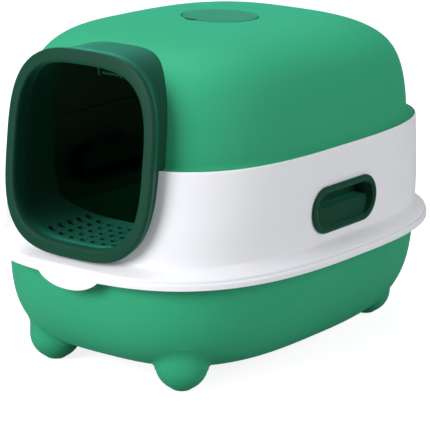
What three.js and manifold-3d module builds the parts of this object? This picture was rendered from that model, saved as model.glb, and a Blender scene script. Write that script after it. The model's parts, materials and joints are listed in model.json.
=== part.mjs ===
// Hooded cat litter box: a footed litter tub, a white belt with a flared skirt, a domed hood
// with a framed doorway and a perforated doorway floor, side grips and a deodoriser cup that
// hangs under a round lid.
// Millimetres, +Z up. The origin is on the floor under the middle of the box, and the
// doorway faces -Y.
import * as THREE from "three";
import { mergeVertices } from "three/addons/utils/BufferGeometryUtils.js";
import Module from "manifold-3d";

const wasm = await Module();
wasm.setup();

// ---------------------------------------------------------------- driving dimensions
const AROUND = 48; // facets around the big shells
const WALL = 3; // moulded wall
const GAP = 0.3; // clearance between resting pieces

// Every big outline is a superellipse: half-width hx, half-length hy, squareness n.
const TUB = { hx: 172.6, hy: 258.6, n: 3.22, nFloor: 2.09, crown: 145, depth: 132.2, p: 6.03, q: 3 };
const TUB_FLOOR = 13.4; // underside of the tub's floor
const TUB_TOP = 143.7;
const TUB_BEAD = { hx: 174.7, hy: 260, n: 3.15, from: 136.5 };
const FOOT = { x: 89.2, y: 189.1, r: 29.5, flat: 8 };

// The belt's wall stands out a little more at its foot, most of all at the front.
const BELT = { hx: 173.7, hy: 252.6, n: 3.22, top: 256.4, bottom: 131.6, shoulder: 144 };
const DRAFT = { dx: 1, dy: 2.5, forward: 2.5, dn: 0.22, over: 66 };
const RIM = { hx: 195, hy: 280, n: 2.793 }; // the skirt's lip
const RIB = { inset: 8.9, from: 249.2, to: 252.5 }; // the shelf inside the belt that holds the hood
const TONGUE = { half: 40, drop: 13.5, thick: 3.4 };

const HOOD = {
  hx: 167.4, hy: 243.4, n: 3.02, nTop: 2.95, base: 248.2, rise: 80.1, crown: 52.93, p: 10.03,
  q: 1.957, peak: -78, front: 0.646, rear: 0.275, side: 0.383,
};
const FLANGE = { inset: 2.4, inner: 12.2, from: 252.8, to: 255.6, spigot: 244.7 };

// The doorway frame is a tube around a point at height z; its front leans back by `lean`.
const DOOR = { y: -258.7, z: 262.8, lean: THREE.MathUtils.degToRad(5.45) };
const DOOR_FIT = 0.4;
// The tube's back edge; its floor runs on past the edge to a rounded end, and its ceiling runs
// on until the hood covers it.
const TUNNEL = { y: -194, floorOut: 44, topOut: 24, half: 78, below: 102.5, floor: 99.3 };
const HOLE = { r: 4, pitchX: 14.6, pitchY: 16.4, y: -241.5, margin: 8 };

const HANGER = { y: -204, half: 15, top: 368.7, pinZ: 342.8, pinR: 1.6 };

const GRIP = { y: -4.5, z: 188.7, half: 37.7, r: 26.7, body: 22.8, pocket: 18.8, back: 150, face: 178.8 };

const LID = { y: -6, r: 43.8, top: 381.3, thick: 3.2 };
const CUP = { r: 37.2, wall: 2.3, bottom: 355.3, flange: 43.6, thick: 2, boss: 58 };
const CUP_TOP = LID.top - LID.thick - GAP;
// A finger pocket in the hood, and the bite out of the lid's edge beside it.
const NOTCH = { r: 12, x: -9, y: -41, lidY: -57, bottom: 374 };
const FILTER = { r: 36.5, from: 358.1, height: 12 };

// ---------------------------------------------------------------- solids from geometry
// A closed geometry as a manifold solid, with its faces turned outwards.
function solid(geometry) {
  geometry.deleteAttribute("normal");
  geometry.deleteAttribute("uv");
  const merged = mergeVertices(geometry, 1e-4);
  const points = merged.attributes.position;
  const index = merged.index.array;
  const faces = [];
  const [a, b, c] = [new THREE.Vector3(), new THREE.Vector3(), new THREE.Vector3()];
  let volume = 0;
  for (let i = 0; i < index.length; i += 3) {
    const [u, v, w] = [index[i], index[i + 1], index[i + 2]];
    if (u === v || v === w || w === u) continue;
    faces.push([u, v, w]);
    a.fromBufferAttribute(points, u);
    b.fromBufferAttribute(points, v);
    c.fromBufferAttribute(points, w);
    volume += a.dot(b.cross(c));
  }
  if (volume < 0) faces.forEach((face) => face.reverse());
  return new wasm.Manifold(new wasm.Mesh({
    numProp: 3,
    vertProperties: new Float32Array(points.array),
    triVerts: new Uint32Array(faces.flat()),
  }));
}

// A skin drawn through a stack of rings. A ring is a function of the angle around it, or a
// single point that closes an end. Without end points the stack closes on itself.
function loft(rings, around = AROUND, phase = 0) {
  const closed = typeof rings[0] === "function";
  const list = closed ? [...rings, rings[0]] : rings;
  const guide = list.map((ring, i) => new THREE.Vector2(typeof ring === "function" ? 1 : 0, i));
  const geometry = new THREE.LatheGeometry(guide, around);
  const position = geometry.attributes.position;
  for (let k = 0; k < position.count; k++) {
    const ring = list[k % list.length];
    const turn = Math.floor(k / list.length) % around;
    const angle = (2 * Math.PI * (turn + phase)) / around;
    const point = typeof ring === "function" ? ring(angle) : ring;
    position.setXYZ(k, ...point);
  }
  return solid(geometry);
}

// The point of a unit superellipse in the direction of an angle.
function squircle(n, angle) {
  const [c, s] = [Math.cos(angle), Math.sin(angle)];
  const reach = (Math.abs(c) ** n + Math.abs(s) ** n) ** (-1 / n);
  return [c * reach, s * reach];
}

// A level superellipse ring; hyBack differs from hy where the back is fuller than the front.
function level(hx, hy, z, n, yc = 0, hyBack = hy) {
  return (angle) => {
    const [u, v] = squircle(n, angle);
    return [hx * u, yc + (v < 0 ? hy : hyBack) * v, z];
  };
}

function cylinder(r, z0, z1, x = 0, y = 0, sides = 32) {
  const geometry = new THREE.CylinderGeometry(r, r, z1 - z0, sides);
  geometry.rotateX(Math.PI / 2).translate(x, y, (z0 + z1) / 2);
  return solid(geometry);
}

function box(x0, x1, y0, y1, z0, z1) {
  const geometry = new THREE.BoxGeometry(x1 - x0, y1 - y0, z1 - z0);
  return solid(geometry.translate((x0 + x1) / 2, (y0 + y1) / 2, (z0 + z1) / 2));
}

// A turned piece about a vertical line, from [radius, height] points that start and end on it.
function turned(profile, x = 0, y = 0, sides = 32) {
  const geometry = new THREE.LatheGeometry(profile.map((p) => new THREE.Vector2(...p)), sides);
  return solid(geometry.rotateX(Math.PI / 2).translate(x, y, 0));
}

// A flat outline in the X-Z plane, pushed along Y from y0 to y1.
function slab(points, y0, y1) {
  const shape = new THREE.Shape(points.map((p) => new THREE.Vector2(...p)));
  const geometry = new THREE.ExtrudeGeometry(shape, { depth: y1 - y0, bevelEnabled: false });
  return solid(geometry.rotateX(Math.PI / 2).translate(0, y1, 0));
}

const joined = (solids) => solids.reduce((all, next) => all.add(next));

// ---------------------------------------------------------------- litter tub
// The tub's belly: `inset` thickens it inwards, and `z` is the height of the ring.
function tubRing(z, inset) {
  const t = Math.min(1, Math.max(0, (TUB.crown - (z - inset)) / TUB.depth));
  const r = (1 - t ** TUB.q) ** (1 / TUB.p);
  const n = TUB.nFloor + (TUB.n - TUB.nFloor) * r;
  return level(TUB.hx * r - inset, TUB.hy * r - inset, z, n);
}

function tubBody(inset, top) {
  const floor = TUB_FLOOR + inset;
  const heights = [0, 4, 10, 20, 36, 60, 95].map((h) => floor + h);
  const rings = [[0, 0, floor], ...heights.map((z) => tubRing(z, inset))];
  if (inset === 0) {
    const bead = (z) => level(TUB_BEAD.hx, TUB_BEAD.hy, z, TUB_BEAD.n);
    rings.push(tubRing(TUB_BEAD.from - 2, 0), bead(TUB_BEAD.from), bead(top));
  } else {
    rings.push(tubRing(top, inset));
  }
  return loft([...rings, [0, 0, top]]);
}

// A ball foot with a small flat underneath, widening where it runs into the belly.
function foot(x, y, inset) {
  const arc = [36, 57, 78].map((d) => THREE.MathUtils.degToRad(d));
  const profile = [[0, 0], [FOOT.flat, 0], [12.4, 1.6]];
  arc.forEach((a) => profile.push([FOOT.r * Math.sin(a), FOOT.r * (1 - Math.cos(a))]));
  profile.push([FOOT.r, 30], [FOOT.r + 0.4, 39], [FOOT.r + 1.5, 49], [FOOT.r + 5, 58]);
  const scaled = profile.map(([r, z]) => [Math.max(r - inset, 0), Math.max(z, inset)]);
  const rings = inset ? [[0, inset], ...scaled.filter(([r, z]) => r > 0 && z > inset)] : scaled;
  return turned([...rings, [0, rings.at(-1)[1]]], x, y, 20);
}

function litterTub() {
  const corners = [-1, 1].flatMap((i) => [-1, 1].map((j) => [i * FOOT.x, j * FOOT.y]));
  const outer = joined([tubBody(0, TUB_TOP), ...corners.map(([x, y]) => foot(x, y, 0))]);
  const inner = joined([tubBody(WALL, TUB_TOP + 4), ...corners.map(([x, y]) => foot(x, y, WALL))]);
  return outer.subtract(inner);
}

// ---------------------------------------------------------------- belt and skirt
// `f` runs from 0 on the belt's wall to 1 at the skirt's rim.
function beltRing(f, z, inset = 0) {
  const t = Math.min(1, Math.max(0, (BELT.top - z) / DRAFT.over));
  const mix = (wall, rim) => wall + (rim - wall) * f;
  const hx = mix(BELT.hx + DRAFT.dx * t, RIM.hx) - inset;
  const hy = mix(BELT.hy + DRAFT.dy * t, RIM.hy) - inset;
  return level(hx, hy, z, mix(BELT.n + DRAFT.dn * t, RIM.n), mix(-DRAFT.forward * t, 0));
}

function beltOuter() {
  const flare = [
    [0.965, 131.6], [1, 133.2], [1, 136.2], [0.965, 138], [0.9, 139], [0.84, 139.2], [0.835, 141.2],
    [0.8, 142.3], [0.5, 146], [0.3, 148.2], [0.14, 150.3], [0.04, 152.6], [0, 155.5], [0, 190],
    [0, 255.6],
  ];
  const rings = flare.map(([f, z]) => beltRing(f, z));
  return loft([[0, 0, BELT.bottom], ...rings, beltRing(0, BELT.top, 0.6), [0, 0, BELT.top]]);
}

function beltInner() {
  return loft([
    [0, 0, 117], beltRing(1, 117, 3.2), beltRing(1, 134.5, 3.2), beltRing(0.95, 136.3, 3.2),
    beltRing(0.85, 138.4, 3.2), beltRing(0.52, 142.6, 3.2), beltRing(0.42, BELT.shoulder, 3.2),
    beltRing(0, BELT.shoulder, WALL), beltRing(0, 190, WALL), beltRing(0, RIB.from, WALL),
    beltRing(0, RIB.from, RIB.inset), beltRing(0, RIB.to, RIB.inset), beltRing(0, RIB.to, 1.5),
    beltRing(0, 267, 1.5), [0, 0, 267],
  ]);
}

// The rounded tongue hanging from the middle of the skirt's front.
function tongue() {
  const steps = 20;
  const outline = [[-TONGUE.half - 6, 133.5], [-TONGUE.half - 6, BELT.bottom + 0.4]];
  for (let i = 0; i <= steps; i++) {
    const x = -TONGUE.half + (2 * TONGUE.half * i) / steps;
    const drop = TONGUE.drop * (1 - Math.abs(x / TONGUE.half) ** 2.2) ** 0.8;
    outline.push([x, BELT.bottom - drop]);
  }
  outline.push([TONGUE.half + 6, BELT.bottom + 0.4], [TONGUE.half + 6, 133.5]);
  const band = loft([
    beltRing(1, 107), beltRing(1, 134), beltRing(1, 134, TONGUE.thick), beltRing(1, 107, TONGUE.thick),
  ]);
  return band.intersect(slab(outline, -300, -200));
}

function belt() {
  const grips = [1, -1].map((side) => gripRings([[160, GRIP.body + 0.4], [186, GRIP.body + 0.4]], side));
  let body = beltOuter().subtract(beltInner()).add(tongue());
  body = body.subtract(doorVolume(DOOR_FIT));
  return grips.reduce((left, hole) => left.subtract(hole), body);
}

// ---------------------------------------------------------------- doorway frame
// A ring of the frame, shifted forward by `d` from the front plane.
function doorRing(w, h, d, n) {
  return (angle) => {
    const [u, v] = squircle(n, angle);
    const up = h * v;
    return [w * u, DOOR.y + up * Math.sin(DOOR.lean) - d, DOOR.z + up * Math.cos(DOOR.lean)];
  };
}

const DOOR_OUTSIDE = [
  [92, 110, -24, 3.3], [92.9, 110.4, -15, 3.27], [95.8, 111.6, -7, 3.22], [99.8, 112.8, 0, 3.18],
];
const DOOR_LIP = [
  [99.4, 112.3, 2.6, 3.18], [97.4, 110, 4.6, 3.2], [94, 105.8, 5.8, 3.24], [90.5, 101.7, 6, 3.28],
  [88.1, 98.7, 5.2, 3.31], [87, 97.4, 2.8, 3.33], [86.7, 97, -2, 3.33],
];

// How far back the tunnel reaches at x, on its floor or on its ceiling.
function tunnelBack(x, out = TUNNEL.floorOut) {
  const share = Math.min(1, Math.abs(x) / TUNNEL.half);
  return TUNNEL.y + out * (1 - share ** 2.4) ** 0.7;
}

// A tunnel ring with its own heights above and below; without `d` it lies on the back edge.
function tunnelRing(w, above, below, n, d) {
  return (angle) => {
    const [u, v] = squircle(n, angle);
    const up = (v < 0 ? below : above) * v;
    const back = tunnelBack(w * u, v < 0 ? TUNNEL.floorOut : TUNNEL.topOut);
    const y = d === undefined ? back : DOOR.y + up * Math.sin(DOOR.lean) - d;
    return [w * u, y, DOOR.z + up * Math.cos(DOOR.lean)];
  };
}

function floorHoles() {
  const holes = [];
  for (let i = -4.5; i <= 4.5; i++) {
    for (let j = 0; j < 5; j++) {
      const [x, y] = [i * HOLE.pitchX, HOLE.y + j * HOLE.pitchY];
      const deep = y < tunnelBack(x) - HOLE.margin;
      if (deep) holes.push(cylinder(HOLE.r, 150, 172, x, y, 8));
    }
  }
  return holes;
}

function doorFrame() {
  const { below, floor } = TUNNEL;
  const tube = loft([
    tunnelRing(92, 110, below, 3.3), tunnelRing(92, 110, below, 3.3, -34),
    ...[...DOOR_OUTSIDE, ...DOOR_LIP, [87.3, 98, -9, 3.3]].map((ring) => doorRing(...ring)),
    tunnelRing(89, 107, floor, 3.3, -20), tunnelRing(89, 107, floor, 3.3),
  ]);
  return floorHoles().reduce((frame, hole) => frame.subtract(hole), tube);
}

// The space the frame fills, grown by a clearance and run on at both ends.
function doorVolume(grow) {
  const stations = [[92, 110, -120, 3.3], ...DOOR_OUTSIDE, [99.8, 112.8, 60, 3.18]];
  const rings = stations.map(([w, h, d, n]) => doorRing(w + grow, h + grow, d, n));
  return loft([[0, DOOR.y + 120, DOOR.z], ...rings, [0, DOOR.y - 60, DOOR.z]]);
}

// Two cheeks under the tunnel's ceiling, drilled for the pin that a swing flap hangs on.
function flapHanger() {
  const cheeks = [-1, 1].map((side) => {
    const x = side * HANGER.half;
    return box(x - 1.2, x + 1.2, HANGER.y - 5, HANGER.y + 5, HANGER.pinZ - 3.5, HANGER.top - 1);
  });
  const plate = box(-20, 20, HANGER.y - 7, HANGER.y + 7, HANGER.top - 2.2, HANGER.top);
  return joined([plate, ...cheeks]).subtract(hangerPin(HANGER.pinR + GAP, 30));
}

function hangerPin(r, half) {
  const geometry = new THREE.CylinderGeometry(r, r, 2 * half, 20);
  return solid(geometry.rotateZ(Math.PI / 2).translate(0, HANGER.y, HANGER.pinZ));
}

// ---------------------------------------------------------------- hood
// The hood's skin at a share r of its plan, thinned by an inset on the inside.
function hoodRing(r, inset) {
  const climb = (1 - r ** HOOD.p) ** (1 / HOOD.q);
  const z = HOOD.base + (HOOD.rise - inset) * climb + HOOD.crown * (1 - r * r);
  const [hx, hy] = [HOOD.hx - inset, HOOD.hy - inset];
  const n = HOOD.nTop + (HOOD.n - HOOD.nTop) * r;
  return level(hx * r ** HOOD.side, hy * r ** HOOD.front, z, n, HOOD.peak * (1 - r), hy * r ** HOOD.rear);
}

function hoodSkin(inset, climbs, shares) {
  const steep = climbs.map((c) => (1 - c ** HOOD.q) ** (1 / HOOD.p));
  return [...steep, ...shares].map((r) => hoodRing(r, inset));
}

function hoodBody(inset) {
  const climbs = inset ? [0.3, 0.6, 0.8, 0.93] : [0.16, 0.34, 0.52, 0.68, 0.8, 0.89, 0.95];
  const shares = inset ? [0.7, 0.36, 0.1] : [0.72, 0.5, 0.28, 0.1];
  const { hx, hy, n } = HOOD;
  const foot = inset
    ? [[0, 0, 232.2], level(hx - inset, hy - inset, 232.2, n)]
    : [[0, 0, 253.2], level(hx + 2.4, hy + 2.4, 253.2, n), level(hx + 2.2, hy + 2.2, 255.8, n),
      level(hx + 0.7, hy + 0.7, 257, n)];
  const top = HOOD.base + HOOD.rise + HOOD.crown - inset;
  return loft([...foot, ...hoodSkin(inset, climbs, shares), [0, HOOD.peak, top]]);
}

// The flat flange that lies in the belt's top, and the short spigot under it.
function hoodFlange() {
  const ring = (inset, z) => level(BELT.hx - inset, BELT.hy - inset, z, BELT.n);
  return loft([
    ring(FLANGE.inset, FLANGE.from), ring(FLANGE.inset, FLANGE.to), ring(FLANGE.inner, FLANGE.to),
    ring(FLANGE.inner, FLANGE.spigot), ring(FLANGE.inner - 2.6, FLANGE.spigot),
    ring(FLANGE.inner - 2.6, FLANGE.from),
  ]);
}

// The hood with its doorway opening, the cup's hole, the lid's seat and a finger notch beside it.
function hood() {
  const outside = hoodBody(0);
  const boss = cylinder(CUP.boss, 371.8, 395, 0, LID.y, 32).intersect(outside);
  const cuts = [
    cylinder(LID.r + 0.4, CUP_TOP - CUP.thick - GAP, 400, 0, LID.y),
    cylinder(NOTCH.r, NOTCH.bottom, 400, NOTCH.x, NOTCH.y, 24),
    cylinder(CUP.r + CUP.wall + GAP, 340, 400, 0, LID.y), doorVolume(DOOR_FIT),
  ];
  const body = joined([outside.subtract(hoodBody(WALL)), hoodFlange(), boss]);
  return cuts.reduce((left, cut) => left.subtract(cut), body);
}

// ---------------------------------------------------------------- deodoriser cup, lid and filter
function deodoriserCup() {
  const { r, wall, bottom, flange, thick } = CUP;
  const body = turned([
    [0, bottom], [r + wall - 1.5, bottom], [r + wall, bottom + 1.5], [r + wall, CUP_TOP - thick],
    [flange, CUP_TOP - thick], [flange, CUP_TOP], [r, CUP_TOP], [r, bottom + 2.5], [0, bottom + 2.5],
  ], 0, LID.y);
  const vents = [cylinder(4, 345, 361, 0, LID.y, 12)];
  for (let i = 0; i < 6; i++) {
    const angle = (i * Math.PI) / 3;
    vents.push(cylinder(4, 345, 361, 22 * Math.cos(angle), LID.y + 22 * Math.sin(angle), 12));
  }
  return vents.reduce((left, vent) => left.subtract(vent), body);
}

function deodoriserLid() {
  const { r, top, thick } = LID;
  const under = top - thick;
  const plug = CUP.r - 0.6;
  const disc = turned([
    [0, under], [plug - 2.2, under], [plug - 2.2, under - 7], [plug, under - 7], [plug, under],
    [r, under], [r, top - 0.8], [r - 0.8, top], [0, top],
  ], 0, LID.y);
  return disc.subtract(cylinder(NOTCH.r, 370, 400, NOTCH.x, NOTCH.lidY, 24));
}

function carbonFilter() {
  return cylinder(FILTER.r, FILTER.from, FILTER.from + FILTER.height, 0, LID.y, 36);
}

// ---------------------------------------------------------------- side grips
// Stadium-shaped rings [x, radius] standing on the belt's side, pushed outwards along X.
function gripRings(stations, side = 1) {
  const ring = ([x, r]) => (angle) => {
    const run = (Math.cos(angle) > 0 ? 1 : -1) * GRIP.half;
    return [side * x, GRIP.y + side * (run + r * Math.cos(angle)), GRIP.z + r * Math.sin(angle)];
  };
  const rings = stations.map(ring);
  const end = ([x]) => [side * x, GRIP.y, GRIP.z];
  return loft([end(stations[0]), ...rings, end(stations.at(-1))], 32, 0.5);
}

// A bezel outside the belt and a finger pocket behind it; the lower half is a sloping panel.
function grip(side) {
  const { r, body, pocket, back, face } = GRIP;
  const outside = BELT.hx + DRAFT.dx + GAP;
  const outer = gripRings([
    [back, body], [outside, body], [outside, r], [face - 1.6, r], [face - 0.5, r - 0.7],
    [face, r - 2], [face, 10],
  ], side);
  const step = gripRings([[face - 0.9, r - 5.4], [face + 9, r - 5.2]], side);
  const hollow = gripRings([[back + WALL, pocket], [face - 2, pocket], [face + 9, pocket + 1.6]], side);
  const under = gripRings([[back - 5, body - WALL], [face - 6, body - WALL]], side);
  const open = [[back, 0], [168, 0], [175.4, -28], [190, -28], [190, 40], [back, 40]];
  const below = [[back - 9, -WALL], [164.6, -WALL], [171.3, -28], [back - 9, -28]];
  const wedge = (points) => slab(points.map(([x, z]) => [side * x, GRIP.z + z]), -90, 90);
  return outer.subtract(step).subtract(hollow.intersect(wedge(open)))
    .subtract(under.intersect(wedge(below)));
}

// ---------------------------------------------------------------- the assembly
const LOOKS = {
  green: { color: 0x3fae86, roughness: 0.42, metalness: 0 },
  darkGreen: { color: 0x2a6a53, roughness: 0.45, metalness: 0 },
  white: { color: 0xe8e8ec, roughness: 0.4, metalness: 0 },
  carbon: { color: 0x1d1f20, roughness: 0.95, metalness: 0 },
};

const group = new THREE.Group();
group.name = "hooded_litter_box";

function addPiece(name, piece, look) {
  const { vertProperties, triVerts } = piece.getMesh();
  const geometry = new THREE.BufferGeometry();
  geometry.setAttribute("position", new THREE.BufferAttribute(vertProperties, 3));
  geometry.setIndex(new THREE.BufferAttribute(triVerts, 1));
  geometry.computeVertexNormals();
  const mesh = new THREE.Mesh(geometry, new THREE.MeshStandardMaterial(LOOKS[look]));
  mesh.name = name;
  group.add(mesh);
}

addPiece("litter_tub", litterTub(), "green");
addPiece("belt", belt(), "white");
addPiece("hood", hood(), "green");
addPiece("door_frame", doorFrame(), "darkGreen");
addPiece("flap_hanger", flapHanger(), "darkGreen");
addPiece("flap_hanger_pin", hangerPin(HANGER.pinR, HANGER.half + 3), "darkGreen");
addPiece("grip_right", grip(1), "darkGreen");
addPiece("grip_left", grip(-1), "darkGreen");
addPiece("deodoriser_cup", deodoriserCup(), "darkGreen");
addPiece("deodoriser_lid", deodoriserLid(), "darkGreen");
addPiece("carbon_filter", carbonFilter(), "carbon");

export default group;
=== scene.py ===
import json
import math

import bmesh
import bpy
import numpy as np
from mathutils import Matrix, Vector

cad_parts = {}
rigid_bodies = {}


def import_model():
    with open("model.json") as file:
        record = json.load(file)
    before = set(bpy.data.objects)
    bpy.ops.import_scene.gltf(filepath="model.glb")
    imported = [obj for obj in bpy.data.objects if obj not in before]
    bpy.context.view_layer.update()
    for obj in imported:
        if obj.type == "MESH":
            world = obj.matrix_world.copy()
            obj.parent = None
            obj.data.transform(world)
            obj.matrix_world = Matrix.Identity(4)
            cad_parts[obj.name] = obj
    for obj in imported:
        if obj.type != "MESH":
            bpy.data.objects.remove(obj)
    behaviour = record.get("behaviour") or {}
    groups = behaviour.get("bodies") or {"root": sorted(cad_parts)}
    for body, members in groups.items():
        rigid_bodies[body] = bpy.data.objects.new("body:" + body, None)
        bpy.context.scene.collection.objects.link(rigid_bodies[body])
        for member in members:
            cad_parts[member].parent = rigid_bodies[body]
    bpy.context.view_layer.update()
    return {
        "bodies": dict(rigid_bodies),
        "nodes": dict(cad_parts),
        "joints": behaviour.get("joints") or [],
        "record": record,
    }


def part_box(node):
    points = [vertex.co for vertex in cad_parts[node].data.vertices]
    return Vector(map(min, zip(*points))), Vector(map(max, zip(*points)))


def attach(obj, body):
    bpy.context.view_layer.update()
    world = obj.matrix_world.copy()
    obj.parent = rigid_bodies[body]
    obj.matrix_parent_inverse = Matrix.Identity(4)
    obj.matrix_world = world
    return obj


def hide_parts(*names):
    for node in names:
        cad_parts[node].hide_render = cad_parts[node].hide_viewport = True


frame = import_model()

MM = 0.001
AROUND = 192  # columns round a lofted shell
SHARP = math.radians(32)


def box_mm(node):
    """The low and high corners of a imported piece, in millimetres."""
    low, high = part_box(node)
    return np.array(low) / MM, np.array(high) / MM


BELT_LO, BELT_HI = box_mm("belt")
_, TUB_HI = box_mm("litter_tub")
LID_LO, LID_HI = box_mm("deodoriser_lid")
CUP_LO, CUP_HI = box_mm("deodoriser_cup")
GRIP_LO, GRIP_HI = box_mm("grip_right")
HANGER_LO, HANGER_HI = box_mm("flap_hanger")
PIN_LO, PIN_HI = box_mm("flap_hanger_pin")
FILTER_LO, FILTER_HI = box_mm("carbon_filter")

# ------------------------------------------------------------------ mesh tools


def new_object(name, verts, faces):
    """An object from points in millimetres, with its faces turned outwards."""
    mesh = bpy.data.meshes.new(name)
    mesh.from_pydata((np.asarray(verts, float) * MM).tolist(), [], faces)
    mesh.update()
    obj = bpy.data.objects.new(name, mesh)
    bpy.context.scene.collection.objects.link(obj)
    face_outwards(obj)
    return obj


def face_outwards(obj):
    bm = bmesh.new()
    bm.from_mesh(obj.data)
    bmesh.ops.recalc_face_normals(bm, faces=bm.faces)
    if bm.calc_volume(signed=True) < 0:
        bmesh.ops.reverse_faces(bm, faces=bm.faces)
    bm.to_mesh(obj.data)
    bm.free()


def loft(name, rings, around=AROUND, phase=0.0):
    """A closed skin through rings.

    A ring is a function of the angles, or a single point that closes an end. Rings without end points
    make a hoop: the last one is joined to the first.
    """
    angles = (np.arange(around) + phase) * 2 * math.pi / around
    verts, rows = [], []
    for ring in rings:
        if callable(ring):
            rows.append((len(verts), around))
            verts.extend(np.asarray(ring(angles)).tolist())
        else:
            rows.append((len(verts), 1))
            verts.append(list(ring))
    pairs = list(zip(rows, rows[1:]))
    if rows[0][1] > 1:
        pairs.append((rows[-1], rows[0]))
    faces = []
    for (a, na), (b, nb) in pairs:
        for i in range(around):
            j = (i + 1) % around
            if na == 1:
                faces.append((a, b + i, b + j))
            elif nb == 1:
                faces.append((a + i, b, a + j))
            else:
                faces.append((a + i, a + j, b + j, b + i))
    return new_object(name, verts, faces)


def boolean(obj, tools, operation):
    """Applies one boolean for each tool and removes the tools."""
    for tool in tools:
        mod = obj.modifiers.new("cut", "BOOLEAN")
        mod.operation = operation
        mod.solver = "MANIFOLD"
        mod.object = tool
    depsgraph = bpy.context.evaluated_depsgraph_get()
    mesh = bpy.data.meshes.new_from_object(obj.evaluated_get(depsgraph))
    obj.modifiers.clear()
    old, obj.data = obj.data, mesh
    bpy.data.meshes.remove(old)
    for tool in tools:
        bpy.data.objects.remove(tool)
    return obj


def cut(obj, *tools):
    return boolean(obj, tools, "DIFFERENCE")


def join(obj, *tools):
    return boolean(obj, tools, "UNION")


def keep(obj, *tools):
    return boolean(obj, tools, "INTERSECT")


def squircle(n, angles):
    """Points on a superellipse of half size 1; n is 2 for a circle and more for squarer corners."""
    c, s = np.cos(angles), np.sin(angles)
    reach = (np.abs(c) ** n + np.abs(s) ** n) ** (-1 / n)
    return c * reach, s * reach


def level(hx, hy, z, n, yc=0.0, back=None):
    """A flat superellipse ring at height z; back is its half length towards the rear."""
    back = hy if back is None else back

    def ring(angles):
        u, v = squircle(n, angles)
        return np.stack([hx * u, yc + np.where(v < 0, hy, back) * v, np.full_like(u, z)], 1)
    return ring


def smooth(points, per=6):
    """A centripetal Catmull-Rom curve through the points."""
    p = np.array(points, float)
    p = np.vstack([2 * p[0] - p[1], p, 2 * p[-1] - p[-2]])
    out = []
    for a, b, c, d in zip(p, p[1:], p[2:], p[3:]):
        gaps = [max(np.linalg.norm(w - v), 1e-6) ** 0.5 for v, w in ((a, b), (b, c), (c, d))]
        t = np.cumsum([0] + gaps)
        for k in range(per):
            x = t[1] + (t[2] - t[1]) * k / per
            a1 = (t[1] - x) / (t[1] - t[0]) * a + (x - t[0]) / (t[1] - t[0]) * b
            a2 = (t[2] - x) / (t[2] - t[1]) * b + (x - t[1]) / (t[2] - t[1]) * c
            a3 = (t[3] - x) / (t[3] - t[2]) * c + (x - t[2]) / (t[3] - t[2]) * d
            b1 = (t[2] - x) / (t[2] - t[0]) * a1 + (x - t[0]) / (t[2] - t[0]) * a2
            b2 = (t[3] - x) / (t[3] - t[1]) * a2 + (x - t[1]) / (t[3] - t[1]) * a3
            out.append((t[2] - x) / (t[2] - t[1]) * b1 + (x - t[1]) / (t[2] - t[1]) * b2)
    out.append(p[-2])
    return np.array(out)


def arc(cx, cz, r, start, end, count):
    """Points on a circle, from one angle to another in degrees."""
    return [(cx + r * math.cos(math.radians(a)), cz + r * math.sin(math.radians(a)))
            for a in np.linspace(start, end, count)]


def turned(name, profile, x=0.0, y=0.0, sides=96):
    """A turned piece from [radius, height] points that start and end on its vertical axis."""
    def ring(r, z):
        return lambda a: np.stack([x + r * np.cos(a), y + r * np.sin(a), np.full_like(a, z)], 1)
    rings = [ring(r, z) if r > 1e-6 else (x, y, z) for r, z in profile]
    return loft(name, rings, sides)


def slab(name, first, second):
    """A solid between two outlines with the same number of points."""
    n = len(first)
    sides = [(i, (i + 1) % n, n + (i + 1) % n, n + i) for i in range(n)]
    return new_object(name, first + second, sides + [tuple(range(n)), tuple(range(n, 2 * n))])


def prism(name, outline, y0, y1):
    """An outline in the X-Z plane pushed along Y."""
    return slab(name, [(x, y0, z) for x, z in outline], [(x, y1, z) for x, z in outline])


def block(name, low, high, edge):
    """A box with its vertical edges rounded."""
    (x0, y0, z0), (x1, y1, z1) = low, high
    corners = [(x1 - edge, y1 - edge, 0), (x0 + edge, y1 - edge, 90),
               (x0 + edge, y0 + edge, 180), (x1 - edge, y0 + edge, 270)]
    plan = []
    for cx, cy, a in corners:
        plan += arc(cx, cy, edge, a, a + 90, 7)
    return slab(name, [(x, y, z0) for x, y in plan], [(x, y, z1) for x, y in plan])


# ------------------------------------------------------------------ materials


def node_maker(tree):
    """A function that adds a node; an input is a value or the socket that feeds it."""
    def make(kind, inputs=(), **props):
        node = tree.nodes.new(kind)
        for key, value in props.items():
            setattr(node, key, value)
        for key, value in dict(inputs).items():
            if isinstance(value, bpy.types.NodeSocket):
                tree.links.new(value, node.inputs[key])
            else:
                node.inputs[key].default_value = value
        return node
    return make


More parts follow.
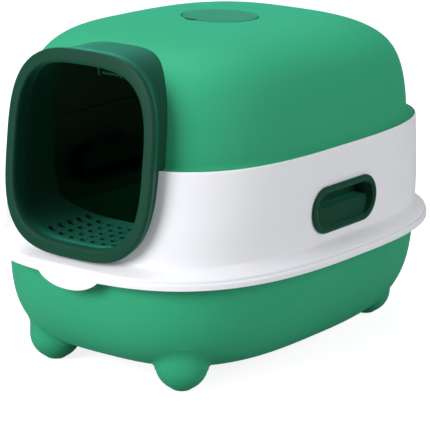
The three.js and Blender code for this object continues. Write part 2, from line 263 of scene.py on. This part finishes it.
def plastic(name, dark, light, rough, grain=0.018, spec=0.5, sheen=0.0, glow=(1, 1, 1)):
    """Moulded plastic: fine grain, slow colour drift, patchy gloss and faint scuffs."""
    mat = bpy.data.materials.new(name)
    mat.use_nodes = True
    tree = mat.node_tree
    tree.nodes.clear()
    make = node_maker(tree)
    place = make("ShaderNodeTexCoord").outputs["Object"]
    drift = make("ShaderNodeTexNoise", {"Vector": place, "Scale": 7.0, "Detail": 3.0})
    speck = make("ShaderNodeTexNoise", {"Vector": place, "Scale": 900.0, "Detail": 2.0})
    wear = make("ShaderNodeTexNoise", {
        "Vector": place, "Scale": 38.0, "Detail": 6.0, "Roughness": 0.62})
    mix = make("ShaderNodeMix", {
        0: drift.outputs["Fac"], 6: (*dark, 1), 7: (*light, 1)}, data_type="RGBA")
    gloss = make("ShaderNodeMapRange", {
        "Value": wear.outputs["Fac"], "From Min": 0.3, "From Max": 0.7,
        "To Min": rough - 0.045, "To Max": rough + 0.06})
    height = make("ShaderNodeMath", {0: speck.outputs["Fac"], 1: 0.5}, operation="SUBTRACT")
    bump = make("ShaderNodeBump", {
        "Strength": 0.35, "Distance": grain * MM, "Height": height.outputs[0]})
    shader = make("ShaderNodeBsdfPrincipled", {
        "Base Color": mix.outputs[2], "Roughness": gloss.outputs["Result"],
        "Normal": bump.outputs["Normal"], "IOR": 1.49, "Specular IOR Level": spec,
        "Sheen Weight": sheen, "Sheen Roughness": 0.35, "Sheen Tint": (*glow, 1)})
    make("ShaderNodeOutputMaterial", {"Surface": shader.outputs[0]})
    return mat


def srgb(*display):
    """Linear light from display values of 0 to 255."""
    return tuple(((c / 255 + 0.055) / 1.055) ** 2.4 if c > 10 else c / 255 / 12.92 for c in display)


GREEN = plastic("green_shell", srgb(47, 150, 109), srgb(52, 157, 115), 0.58,
                spec=0.1, sheen=0.15, glow=srgb(60, 240, 215))
WHITE = plastic("white_shell", srgb(226, 226, 231), srgb(232, 232, 236), 0.42)
TRIM = plastic("dark_green_trim", srgb(14, 58, 42), srgb(17, 63, 46), 0.5,
               spec=0.12, sheen=0.42, glow=srgb(80, 230, 195))
# Painted light: a lighter copy of the trim plastic for the lid, standing in for the light its top catches.
TRIM_PAINTED_LIGHTER = plastic("dark_green_trim_painted_lighter", srgb(26, 76, 54), srgb(30, 82, 58), 0.5,
                   spec=0.12, sheen=0.5, glow=srgb(90, 240, 200))
# Painted shade: a dark grey-green stand-in for the shade inside the cabin, put on the belt's and hood's
# inside faces.
INSIDE_PAINTED_SHADE = plastic("inner_face_painted_shade", srgb(84, 112, 90), srgb(90, 118, 95), 0.6, spec=0.1)
CARBON = plastic("carbon", srgb(22, 23, 24), srgb(34, 35, 36), 0.95, grain=0.4)


def finish(obj, body, slot, material, *nodes):
    """Shades a piece, gives it its material and puts it on its body in place of CAD nodes."""
    obj.data.shade_smooth()
    obj.data.set_sharp_from_angle(angle=SHARP)
    obj.data.materials.clear()
    obj.data.materials.append(material)
    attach(obj, body)
    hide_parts(*nodes)
    return obj


def paint_shade_inside(obj, is_inner):
    """Paints shade on the faces that look into the cabin: they get a darker material that stands in for the
    shade inside, not a different plastic.
    """
    mesh = obj.data
    mesh.materials.append(INSIDE_PAINTED_SHADE)
    for face in mesh.polygons:
        if is_inner(np.array(face.center) / MM, np.array(face.normal)):
            face.material_index = 1


# ------------------------------------------------------------------ doorway frame

# The lip and the shoulder behind it are rows of half width, half height, reach forward and squareness.
DOOR = {"y": -258.7, "z": 262.8, "lean": math.radians(5.45)}
DOOR_SHOULDER = [[92, 110, -24, 3.3], [92.9, 110.4, -15, 3.27], [95.8, 111.6, -7, 3.22],
                 [99.8, 112.8, 0, 3.18]]
DOOR_LIP = [[99.85, 112.8, 2.4, 3.18], [99.4, 112.3, 4.0, 3.18], [98.2, 110.9, 5.0, 3.19],
            [94.5, 106.5, 5.6, 3.23], [90.4, 101.6, 6.0, 3.29], [88.8, 99.6, 5.8, 3.31],
            [87.7, 98.3, 4.8, 3.32], [87.0, 97.4, 2.8, 3.33], [86.7, 97, -2, 3.33], [87.3, 98, -9, 3.3]]
TUNNEL = {"y": -194.0, "floor_out": 44.0, "top_out": 24.0, "half": 78.0, "below": 102.5, "floor": 99.3,
          "edge": 0.7, "n": 3.3}
HOLE = {"r": 4.0, "x": 14.6, "y": 16.4, "first": -241.5, "rows": 5, "margin": 8.0, "low": 150, "high": 172}


def door_ring(w, h, d, n):
    """A ring in the doorway's leaning plane, pushed forward by d."""
    def ring(angles):
        u, v = squircle(n, angles)
        up = h * v
        return np.stack([w * u, DOOR["y"] + up * math.sin(DOOR["lean"]) - d,
                         DOOR["z"] + up * math.cos(DOOR["lean"])], 1)
    return ring


def tunnel_back(x, out=TUNNEL["floor_out"]):
    """How far back the tunnel reaches at x, on its floor or on its ceiling."""
    share = np.minimum(np.abs(x) / TUNNEL["half"], 1.0)
    return TUNNEL["y"] + out * (1 - share ** 2.4) ** 0.7


def tunnel_ring(w, above, below, d=None, short=0.0):
    """A tunnel ring; without d it lies on the back edge, pulled forward by short."""
    def ring(angles):
        u, v = squircle(TUNNEL["n"], angles)
        up = np.where(v < 0, below, above) * v
        back = tunnel_back(w * u, np.where(v < 0, TUNNEL["floor_out"], TUNNEL["top_out"])) - short
        y = back if d is None else DOOR["y"] + up * math.sin(DOOR["lean"]) - d
        return np.stack([w * u, y, DOOR["z"] + up * math.cos(DOOR["lean"])], 1)
    return ring


def floor_holes():
    """Cutters for the staggered holes with eased edges in the tunnel's floor."""
    tools = []
    r, low, high = HOLE["r"], HOLE["low"], HOLE["high"]
    top = DOOR["z"] - TUNNEL["floor"] * math.cos(DOOR["lean"])
    profile = [(0, low), (r, low), (r, top - 0.7), (r + 0.3, top - 0.2), (r + 1, top + 0.25), (r + 1, high),
               (0, high)]
    for column in np.arange(-4.5, 5):
        for row in range(HOLE["rows"]):
            x, y = column * HOLE["x"], HOLE["first"] + row * HOLE["y"]
            if y < tunnel_back(x) - HOLE["margin"]:
                tools.append(turned("hole", profile, x, y, 24))
    return tools


def door_frame():
    floor, below, edge = TUNNEL["floor"], TUNNEL["below"], TUNNEL["edge"]
    skin = smooth(DOOR_SHOULDER + DOOR_LIP, 4).tolist()
    inner = [tunnel_ring(87.9, 102, 98.9, d=-13.5), tunnel_ring(88.7, 106, 99.25, d=-18),
             tunnel_ring(89, 107, floor, d=-21)]
    back = [tunnel_ring(89, 107, floor, short=edge), tunnel_ring(89.7, 107.7, floor + edge),
            tunnel_ring(91.3, 109.3, below - edge), tunnel_ring(92, 110, below, short=edge)]
    outer = [tunnel_ring(92, 110, below, d=-34)]
    frame = loft("door_frame_tunnel", [door_ring(*r) for r in skin] + inner + back + outer)
    return cut(frame, *floor_holes())


def door_volume(name, grow):
    """The frame's outside, grown by a clearance and run on to the back and the front."""
    back, front = 120, 60
    skin = [[92, 110, -back, 3.3]] + smooth(DOOR_SHOULDER, 4).tolist() + [[99.8, 112.8, front, 3.18]]
    rings = [door_ring(w + grow, h + grow, d, n) for w, h, d, n in skin]
    return loft(name, [(0, DOOR["y"] + back, DOOR["z"]), *rings, (0, DOOR["y"] - front, DOOR["z"])])


finish(door_frame(), "hood", "dark_green_trim", TRIM, "door_frame")

# ------------------------------------------------------------------ litter tub

# The belly's section is a curve of powers p and q that hangs depth below its crown.
TUB = {"hx": 172.6, "hy": 258.6, "n": 3.22, "floor_n": 2.09, "crown": 145.0, "depth": 132.2,
       "p": 6.03, "q": 3.0}
TUB_TOP = TUB_HI[2]
TUB_FLOOR = 13.4
TUB_OVER = TUB_TOP + 4
FOOT = {"x": 89.2, "y": 189.1, "r": 29.5, "fillet": 7.0, "sunk": 1.4}
WALL = 3.0


def tub_n(r):
    """Squareness of the belly where it has the share r of its full width."""
    return TUB["floor_n"] + (TUB["n"] - TUB["floor_n"]) * r


def tub_ring(z, inset):
    t = min(1, max(0, (TUB["crown"] - (z - inset)) / TUB["depth"]))
    r = (1 - t ** TUB["q"]) ** (1 / TUB["p"])
    return level(TUB["hx"] * r - inset, TUB["hy"] * r - inset, z, tub_n(r))


def tub_body(name, inset):
    """The tub without its feet; with an inset it is the space inside the walls."""
    floor = TUB_FLOOR + inset
    t = (TUB["crown"] - TUB_FLOOR) / TUB["depth"]
    flat = (1 - t ** TUB["q"]) ** (1 / TUB["p"])
    hx, hy = TUB["hx"] * flat - inset, TUB["hy"] * flat - inset
    rings = [(0, 0, floor)]
    rings += [level(hx * share, hy * share, floor, tub_n(flat)) for share in (0.35, 0.7, 0.95)]
    rings += [tub_ring(floor + h, inset) for h in 115 * np.linspace(0, 1, 40) ** 2.2]
    if inset:
        return loft(name, rings + [tub_ring(TUB_OVER, inset), (0, 0, TUB_OVER)])
    bead = [(173.2, 258.8, 133.5), (174.0, 259.4, 134.4), (174.7, 260.0, 136.5),
            (174.7, 260.0, TUB_TOP - 0.9), (174.4, 259.7, TUB_TOP - 0.25), (173.8, 259.1, TUB_TOP)]
    return loft(name, rings + [level(x, y, z, 3.15) for x, y, z in bead] + [(0, 0, TUB_TOP)])


def belly(x, y):
    """Height of the tub's underside over a point of the floor, found by halving."""
    beyond = 150.0

    def over(r):
        n = tub_n(r)
        return abs(x / TUB["hx"]) ** n + abs(y / TUB["hy"]) ** n - r ** n
    if over(1.0) >= 0:
        return beyond
    low, high = 0.0, 1.0
    for _ in range(40):
        mid = (low + high) / 2
        low, high = (mid, high) if over(mid) > 0 else (low, mid)
    return max(TUB_FLOOR, TUB["crown"] - TUB["depth"] * (1 - high ** TUB["p"]) ** (1 / TUB["q"]))


def foot_skin(name, fx, fy, sides=72):
    """A ball foot whose side runs into the belly through a small fillet."""
    r, fillet, sunk = FOOT["r"], FOOT["fillet"], FOOT["sunk"]
    ball = [(4.0, 0.0), (8.0, 0.0), (10.2, 0.75)]
    ball += [(r * math.sin(a), r * (1 - math.cos(a))) for a in np.radians(np.linspace(31, 90, 16))]
    columns = []
    for i in range(sides):
        a = 2 * math.pi * i / sides
        c, s = math.cos(a), math.sin(a)
        meet = belly(fx + r * c, fy + r * s)
        far = belly(fx + (r + fillet) * c, fy + (r + fillet) * s)
        far = min(far, meet + 3.0 * fillet)
        side_low = max(meet - fillet, r * 0.72)
        column = [(reach, min(z, side_low)) for reach, z in ball]
        for k in range(1, 4):
            last = column[-1][1]
            z = side_low * k / 3 + last * (1 - k / 3) if side_low > r else last
            column.append((r, z))
        p0, p1, p2 = np.array(column[-1]), np.array((r, meet)), np.array((r + fillet, far))
        for k in range(1, 9):
            t = k / 8
            column.append(tuple((1 - t) ** 2 * p0 + 2 * t * (1 - t) * p1 + t * t * p2))
        column.append((r + fillet, far + sunk))
        column.append((r * 0.5, belly(fx + r * 0.5 * c, fy + r * 0.5 * s) + sunk))
        columns.append([(fx + reach * c, fy + reach * s, z) for reach, z in column])
    grid = np.array(columns).transpose(1, 0, 2)
    rings = [(lambda a, row=row: row) for row in grid]
    return loft(name, [(fx, fy, 0.0), *rings, (fx, fy, belly(fx, fy) + sunk)], sides)


def foot_hollow(name, fx, fy):
    """The space inside a foot, open into the tub."""
    r = FOOT["r"] - WALL
    bowl = [(r * math.sin(a), FOOT["r"] - r * math.cos(a)) for a in np.radians(np.linspace(8, 90, 12))]
    mouth = [(r + 0.4, 39), (r + 1.5, 49), (r + 5, 58), (0, 58)]
    return turned(name, [(0, WALL), *bowl, *mouth], fx, fy, 64)


def litter_tub():
    corners = [(i * FOOT["x"], j * FOOT["y"]) for i in (-1, 1) for j in (-1, 1)]
    tub = tub_body("tub_shell", 0.0)
    join(tub, *[foot_skin("foot", x, y) for x, y in corners])
    cut(tub, tub_body("inside", WALL))
    cut(tub, *[foot_hollow("hollow", x, y) for x, y in corners])
    return tub


finish(litter_tub(), "tub", "green_shell", GREEN, "litter_tub")

# ------------------------------------------------------------------ belt

BELT = {"hx": 173.7, "hy": 252.6, "n": 3.22, "top": BELT_HI[2], "bottom": 131.6}
DRAFT = {"dx": 1.0, "dy": 2.5, "forward": 2.5, "dn": 0.22, "over": 66.0}
RIM = {"hx": BELT_HI[0], "hy": BELT_HI[1], "n": 2.793}


def belt_wall(z):
    """The wall's half sizes, squareness and forward shift at a height."""
    t = min(1, max(0, (BELT["top"] - z) / DRAFT["over"]))
    return (BELT["hx"] + DRAFT["dx"] * t, BELT["hy"] + DRAFT["dy"] * t, BELT["n"] + DRAFT["dn"] * t,
            DRAFT["forward"] * t)


def belt_ring(f, z, inset=0.0):
    """A ring between the wall (f = 0) and the skirt's lip (f = 1)."""
    *wall, forward = belt_wall(z)
    hx, hy, n = (a + (b - a) * f for a, b in zip(wall, (RIM["hx"], RIM["hy"], RIM["n"])))
    return level(hx - inset, hy - inset, z, n, -forward * (1 - f))


def belt_body():
    """The belt as a full body; its lip and flare are points of share of the skirt and height."""
    lip = smooth([(0.93, 131.6), (0.97, 131.65), (0.992, 132.4), (1.0, 133.8), (1.0, 135.6),
                  (0.985, 137.3), (0.94, 138.5), (0.885, 138.9), (0.85, 138.8), (0.83, 138.1)], 4)
    flare = smooth([(0.823, 138.5), (0.826, 140.2), (0.831, 141.2), (0.805, 142.2), (0.66, 144.0),
                    (0.5, 146.0), (0.3, 148.2), (0.14, 150.3), (0.04, 152.6), (0.0, 155.5)], 5)
    top = [(255.5, 0.0), (255.9, 0.1), (256.25, 0.35), (256.4, 0.75)]
    rings = [(0, 0, BELT["bottom"])] + [belt_ring(f, z) for f, z in [*lip, *flare]]
    rings += [belt_ring(0, z) for z in np.linspace(165, 254, 14)]
    rings += [belt_ring(0, z, i) for z, i in top]
    return loft("belt_shell", rings + [(0, 0, BELT["top"])])


def belt_inside():
    """The space inside the skirt and the wall, with a rib for the hood and a thin lip at the top."""
    low, high, rib_low, rib_top = 117, 267, 249.2, 252.5
    steps = [(1, low, 3.2), (1, 134.5, 3.2), (0.95, 136.3, 3.2), (0.85, 138.4, 3.2), (0.52, 142.6, 3.2),
             (0.42, 144, 3.2), (0, 144, WALL)]
    steps += [(0, z, WALL) for z in np.linspace(155, rib_low, 10)]
    steps += [(0, rib_low, 8.9), (0, rib_top, 8.9), (0, rib_top, 1.5), (0, high, 1.5)]
    return loft("inside", [(0, 0, low)] + [belt_ring(*s) for s in steps] + [(0, 0, high)])


def tongue():
    """The rounded tab that hangs from the skirt's lip at the front."""
    half, drop, thick = 40.0, BELT["bottom"] - BELT_LO[2], 3.4
    side, root, high, low = half + 6, BELT["bottom"] + 0.4, 133.5, 107
    ahead, behind = -300, -200
    outline = [(-side, high), (-side, root)]
    for x in np.linspace(-half, half, 61):
        outline.append((x, BELT["bottom"] - drop * (1 - abs(x / half) ** 2.2) ** 0.8))
    outline += [(side, root), (side, high)]
    band = loft("tongue", [belt_ring(1, low), belt_ring(1, 134), belt_ring(1, 134, thick),
                           belt_ring(1, low, thick)])
    return keep(band, prism("outline", outline, ahead, behind))


# A grip's outline is two half circles, half apart each way from its middle.
GRIP = {"y": -4.5, "z": 188.7, "half": 37.7, "r": 26.7, "body": 22.8, "pocket": 18.8,
        "back": GRIP_LO[0], "face": GRIP_HI[0]}


def grip_ring(x, r, side=1):
    def ring(angles):
        c, s = np.cos(angles), np.sin(angles)
        run = np.where(c > 0, 1, -1) * GRIP["half"]
        return np.stack([np.full_like(c, side * x), GRIP["y"] + side * (run + r * c), GRIP["z"] + r * s], 1)
    return ring


def grip_loft(name, stations, side=1):
    """A grip's outline through stations of distance from the middle plane and end radius."""
    rings = [grip_ring(x, r, side) for x, r in stations]
    ends = [(side * stations[k][0], GRIP["y"], GRIP["z"]) for k in (0, -1)]
    return loft(name, [ends[0], *rings, ends[1]], 96, 0.5)


def belt():
    shell = cut(belt_body(), belt_inside())
    join(shell, tongue())
    r = GRIP["body"] + 0.4
    holes = [grip_loft("hole", [(160, r), (186, r)], side) for side in (1, -1)]
    return cut(shell, door_volume("notch", 0.4), *holes)


def belt_inner_face(centre, _):
    """True above the shoulder and deeper in the wall than the thin top lip."""
    x, y, z = centre
    hx, hy, n, forward = belt_wall(z)
    depth = 0.75 * WALL
    inside = abs(x / (hx - depth)) ** n + abs((y + forward) / (hy - depth)) ** n < 1
    return inside and z > 144.5


# The belt's inside faces above the shoulder get the painted shade.
paint_shade_inside(finish(belt(), "belt", "white_shell", WHITE, "belt"), belt_inner_face)

# ------------------------------------------------------------------ grips


def grip(side):
    """A grip cup: bezel outside, finger pocket above a sloping panel, hollow below the panel."""
    back, face, r, z = (GRIP[k] for k in ("back", "face", "r", "z"))
    body_r, pocket = GRIP["body"], GRIP["pocket"]
    name = "grip_right_shell" if side > 0 else "grip_left_shell"
    seat = BELT["hx"] + DRAFT["dx"] + 0.3
    neck = [(back, body_r - 0.6), (back + 0.6, body_r), (seat, body_r)]
    bezel = [(seat, r - 0.4), (seat + 0.3, r), (face - 2.0, r), (face - 1.2, r - 0.25),
             (face - 0.5, r - 0.9), (face - 0.1, r - 1.8), (face, r - 2.6), (face, 12)]
    body = grip_loft(name, neck + bezel, side)
    step = grip_loft("step", [(face - 1.0, r - 5.6), (face - 0.2, r - 5.1), (face + 0.1, r - 4.6),
                              (face + 9, r - 4.6)], side)
    hollow = grip_loft("hollow", [(back + WALL, pocket - 0.8), (back + WALL + 0.8, pocket),
                                  (face - 2.4, pocket), (face - 1.3, pocket + 0.4),
                                  (face + 9, pocket + 3)], side)
    under = grip_loft("under", [(back - 5, body_r - WALL), (face - 6, body_r - WALL)], side)
    panel_top, panel_foot, under_top, under_foot = 168.3, 175.4, 164.6, 171.3
    inside, outside, low, high, reach = back - 9, 190, z - 28, z + 40, 90
    lip = [(panel_top + a, z + b - 0.6) for a, b in arc(0, 0, 0.6, 90, 10, 5)]
    opened = [(back, z), *lip, (panel_foot, low), (outside, low), (outside, high), (back, high)]
    below = [(inside, z - WALL), (under_top, z - WALL), (under_foot, low), (inside, low)]
    keep(hollow, prism("wedge", [(side * x, up) for x, up in opened], -reach, reach))
    keep(under, prism("wedge", [(side * x, up) for x, up in below], -reach, reach))
    return cut(body, step, hollow, under)


finish(grip(1), "belt", "dark_green_trim", TRIM, "grip_right")
finish(grip(-1), "belt", "dark_green_trim", TRIM, "grip_left")

# ------------------------------------------------------------------ hood

# The dome climbs by rise with powers p and q, and by a parabola of height crown. Its peak lies forward
# of the middle, and front, rear and side are the powers with which its outline shrinks towards it.
HOOD = {"hx": 167.4, "hy": 243.4, "n": 3.02, "top_n": 2.95, "base": 248.2, "rise": 80.1, "crown": 52.93,
        "p": 10.03, "q": 1.957, "peak": -78.0, "front": 0.646, "rear": 0.275, "side": 0.383}
LID = {"y": (LID_LO[1] + LID_HI[1]) / 2, "r": LID_HI[0], "thick": 3.2, "top": LID_HI[2]}
CUP = {"r": 37.2, "wall": 2.3, "flange": CUP_HI[0], "bottom": CUP_LO[2], "top": CUP_HI[2], "thick": 2.0,
       "boss": 58.0}
NOTCH = {"r": 12, "x": -9, "y": -41, "lid_y": -57}


def hood_ring(r, inset):
    """The dome's ring at the share r of its foot."""
    climb = (1 - r ** HOOD["p"]) ** (1 / HOOD["q"])
    z = HOOD["base"] + (HOOD["rise"] - inset) * climb + HOOD["crown"] * (1 - r * r)
    hx, hy = HOOD["hx"] - inset, HOOD["hy"] - inset
    n = HOOD["top_n"] + (HOOD["n"] - HOOD["top_n"]) * r
    front, rear = hy * r ** HOOD["front"], hy * r ** HOOD["rear"]
    return level(hx * r ** HOOD["side"], front, z, n, HOOD["peak"] * (1 - r), rear)


def hood_body(name, inset):
    """The dome; with an inset it is the space inside the walls."""
    climbs = np.sin(np.linspace(math.radians(8.3), math.radians(75), 26))
    steep = [(1 - c ** HOOD["q"]) ** (1 / HOOD["p"]) for c in climbs]
    shares = [s for s in np.linspace(0.9, 0.03, 22) ** 1.3 if s < steep[-1] - 0.02]
    hx, hy, n = HOOD["hx"], HOOD["hy"], HOOD["n"]
    if inset:
        low = 232.2
        foot = [(0, 0, low), level(hx - inset, hy - inset, low, n)]
    else:
        ledge = [(3.4, 253.2), (3.4, 255.55), (2.5, 255.8), (1.6, 256.35), (0.9, 257.1), (0.35, 258.2),
                 (0.08, 259.4)]
        foot = [(0, 0, ledge[0][1])] + [level(hx + out, hy + out, z, n) for out, z in ledge]
    top = HOOD["base"] + HOOD["rise"] + HOOD["crown"] - inset
    return loft(name, foot + [hood_ring(r, inset) for r in steep + shares] + [(0, HOOD["peak"], top)])


def hood_flange():
    """The flange that rests on the belt's rib, with a short skirt inside it."""
    def ring(inset, z):
        return level(BELT["hx"] - inset, BELT["hy"] - inset, z, BELT["n"])
    steps = [(2.4, 252.8), (2.4, 255.3), (2.7, 255.6), (12.2, 255.6), (12.2, 244.7), (9.6, 244.7),
             (9.6, 252.8)]
    return loft("flange", [ring(i, z) for i, z in steps])


def disc(name, r, z0, z1, x=0.0, y=0.0, sides=96):
    return turned(name, [(0, z0), (r, z0), (r, z1), (0, z1)], x, y, sides)


def hood():
    y, over, boss_low, notch_low, bore_low = LID["y"], 402, 371.8, 374, 340
    shell = cut(hood_body("hood_shell", 0.0), hood_body("inside", WALL))
    boss = keep(disc("boss", CUP["boss"], boss_low, 395, 0, y), hood_body("outside", 0.0))
    join(shell, boss, hood_flange())
    seat, rim = CUP["top"] - CUP["thick"] - 0.3, LID["r"] + 0.45
    edge = LID["top"] - 1.2
    profile = [(0, seat), (rim, seat), (rim, edge), (rim + 0.5, edge + 0.7), (rim + 8, over), (0, over)]
    seat_cut = turned("seat", profile, y=y)
    notch = disc("notch", NOTCH["r"], notch_low, 400, NOTCH["x"], NOTCH["y"])
    bore = disc("bore", CUP["r"] + CUP["wall"] + 0.3, bore_low, 400, 0, y)
    return cut(shell, seat_cut, notch, bore, door_volume("arch", 0.15))


def hood_inner_face(centre, normal):
    """True where the face looks back at the middle of the hood's foot."""
    middle = np.array((0, 0, 250))
    return float(np.dot(normal, centre - middle)) < 0


# The hood's inside faces get the painted shade.
paint_shade_inside(finish(hood(), "hood", "green_shell", GREEN, "hood"), hood_inner_face)

# ------------------------------------------------------------------ lid, cup, filter, hanger


def deodoriser_cup():
    r, wall, flange, low, top = (CUP[k] for k in ("r", "wall", "flange", "bottom", "top"))
    out = r + wall
    profile = [(0, low)] + [(out - 1.5 + a, low + 1.5 + b) for a, b in arc(0, 0, 1.5, -90, 0, 6)]
    profile += [(out, top - 2), (flange - 0.3, top - 2), (flange, top - 1.7), (flange, top - 0.3),
                (flange - 0.3, top), (r + 0.4, top), (r, top - 0.4), (r, low + 3.3), (r - 0.8, low + 2.5),
                (0, low + 2.5)]
    spots = [(0, 0)] + [(22 * math.cos(a), 22 * math.sin(a)) for a in np.arange(6) * math.pi / 3]
    vents = [disc("vent", 4, 345, 361, x, LID["y"] + y, 32) for x, y in spots]
    return cut(turned("deodoriser_cup_bowl", profile, y=LID["y"], sides=128), *vents)


def deodoriser_lid():
    top, under, plug = LID["top"], LID["top"] - LID["thick"], CUP["r"] - 0.6
    r = LID["r"]
    profile = [(0, under), (plug - 2.2, under), (plug - 2.2, under - 6.6), (plug - 1.8, under - 7),
               (plug - 0.4, under - 7), (plug, under - 6.6), (plug, under), (r - 0.4, under),
               (r, under + 0.4)]
    profile += [(r - 1.0 + a, top - 1.0 + b) for a, b in arc(0, 0, 1.0, 0, 90, 7)]
    profile += [(r * s, top) for s in (0.9, 0.6, 0.3)] + [(0, top)]
    lid = turned("deodoriser_lid_disc", profile, y=LID["y"], sides=144)
    return cut(lid, disc("bite", NOTCH["r"], 370, 400, NOTCH["x"], NOTCH["lid_y"]))


def carbon_filter():
    """A felt pad with round edges and shallow rings in its top."""
    r, low, high = FILTER_HI[0], FILTER_LO[2], FILTER_HI[2]
    profile = [(0, low)] + [(r - 1.5 + a, low + 1.5 + b) for a, b in arc(0, 0, 1.5, -90, 0, 6)]
    profile += [(r - 1.5 + a, high - 1.5 + b) for a, b in arc(0, 0, 1.5, 0, 90, 6)]
    ridges = 12
    for i in range(1, ridges):
        profile.append(((r - 1.5) * (1 - i / ridges), high - 0.5 - 0.4 * math.cos(i * math.pi)))
    return turned("carbon_pad", profile + [(0, high - 0.6)], y=LID["y"], sides=96)


def flap_hanger():
    """A plate with two cheeks that carry the rod."""
    x0, y0, low = HANGER_LO
    x1, y1, top = HANGER_HI
    cheek_x, half_thick, r = 15.0, 1.2, 5
    hanger = block("flap_hanger_bracket", (x0, y0, top - 2.2), (x1, y1, top), 2.0)
    mid = (y0 + y1) / 2
    outline = [(-r, top - 1), (-r, low + r), *arc(0, low + r, r, 180, 360, 13), (r, top - 1)]
    for x in (-cheek_x, cheek_x):
        faces = [[(x + e, mid + a, b) for a, b in outline] for e in (-half_thick, half_thick)]
        join(hanger, slab("cheek", *faces))
    return cut(hanger, rod("bore", 1.9, 30))


def rod(name, r, half, edge=0.0):
    """A rod along X on the hanger pin's axis, with its ends eased by edge."""
    y, z = (PIN_LO[1] + PIN_HI[1]) / 2, (PIN_LO[2] + PIN_HI[2]) / 2

    def ring(x, rr):
        return lambda a: np.stack([np.full_like(a, x), y + rr * np.cos(a), z + rr * np.sin(a)], 1)
    steps = [(-half, r), (half, r)]
    if edge:
        steps = [(-half, r - edge), (-half + edge, r), (half - edge, r), (half, r - edge)]
    return loft(name, [(-half, y, z), *[ring(x, rr) for x, rr in steps], (half, y, z)], 40)


# The lid gets the lighter copy of the trim, which is painted light.
finish(deodoriser_lid(), "lid", "dark_green_trim", TRIM_PAINTED_LIGHTER, "deodoriser_lid")
finish(carbon_filter(), "hood", "carbon", CARBON, "carbon_filter")
finish(deodoriser_cup(), "hood", "dark_green_trim", TRIM, "deodoriser_cup")
finish(flap_hanger(), "hood", "dark_green_trim", TRIM, "flap_hanger")
PIN_R = PIN_HI[2] / 2 - PIN_LO[2] / 2
finish(rod("flap_hanger_rod", PIN_R, PIN_HI[0], 0.4), "hood", "dark_green_trim", TRIM, "flap_hanger_pin")

# ------------------------------------------------------------------ stage, light and camera


def stage():
    """A pale floor that stays white to the camera and throws back less light on the box."""
    mat = bpy.data.materials.new("floor")
    mat.use_nodes = True
    tree = mat.node_tree
    tree.nodes.clear()
    make = node_maker(tree)
    matt = make("ShaderNodeBsdfDiffuse", {"Color": (0.45, 0.45, 0.45, 1)})
    glow = make("ShaderNodeEmission", {"Color": (1, 1, 1, 1), "Strength": 0.85})
    seen = make("ShaderNodeAddShader", {0: matt.outputs[0], 1: glow.outputs[0]})
    path = make("ShaderNodeLightPath")
    pick = make("ShaderNodeMixShader", {
        0: path.outputs["Is Camera Ray"], 1: matt.outputs[0], 2: seen.outputs[0]})
    make("ShaderNodeOutputMaterial", {"Surface": pick.outputs[0]})
    half = 9000
    corners = [(-half, -half, 0), (half, -half, 0), (half, half, 0), (-half, half, 0)]
    floor = new_object("floor", corners, [(0, 1, 2, 3)])
    floor.data.materials.append(mat)


def area_light(name, place, aim, size, power, colour):
    data = bpy.data.lights.new(name, "AREA")
    data.shape, data.size, data.energy, data.color = "DISK", size, power, colour
    light = bpy.data.objects.new(name, data)
    bpy.context.scene.collection.objects.link(light)
    light.location = place
    light.rotation_euler = (Vector(aim) - Vector(place)).to_track_quat("-Z", "Y").to_euler()


def lights():
    world = bpy.data.worlds.new("world")
    world.use_nodes = True
    sky = world.node_tree.nodes["Background"]
    sky.inputs["Color"].default_value = (1, 1, 1, 1)
    sky.inputs["Strength"].default_value = 0.16
    bpy.context.scene.world = world
    area_light("key", (-0.55, -2.95, 1.35), (0, 0, 0.18), 1.6, 98, (1.0, 1.0, 1.0))
    area_light("top", (-0.6, 0.1, 2.6), (0, 0, 0.2), 2.0, 48, (0.9, 0.97, 1.0))
    area_light("right", (2.7, 0.3, 1.2), (0, 0, 0.2), 2.0, 42, (1.0, 1.0, 1.0))


def camera():
    """The photograph's view: a long lens from the front right and a little above."""
    yaw, pitch, roll = math.radians(35.442), math.radians(14.703), math.radians(1.274)
    aim, distance = Vector((-0.00513, 0, 0.14368)), 2.7324
    back = Vector((math.sin(yaw) * math.cos(pitch), -math.cos(yaw) * math.cos(pitch), math.sin(pitch)))
    right = (-back).cross(Vector((0, 0, 1))).normalized()
    up = right.cross(-back)
    rolled_right = right * math.cos(roll) + up * math.sin(roll)
    rolled_up = -right * math.sin(roll) + up * math.cos(roll)
    data = bpy.data.cameras.new("camera")
    data.sensor_width, data.lens = 36.0, 195.456
    data.clip_start, data.clip_end = 0.1, 60
    cam = bpy.data.objects.new("camera", data)
    bpy.context.scene.collection.objects.link(cam)
    turn = Matrix((rolled_right, rolled_up, back)).transposed()
    cam.matrix_world = Matrix.Translation(aim + back * distance) @ turn.to_4x4()
    bpy.context.scene.camera = cam


stage()
lights()
camera()
bpy.context.scene.view_settings.view_transform = "Standard"
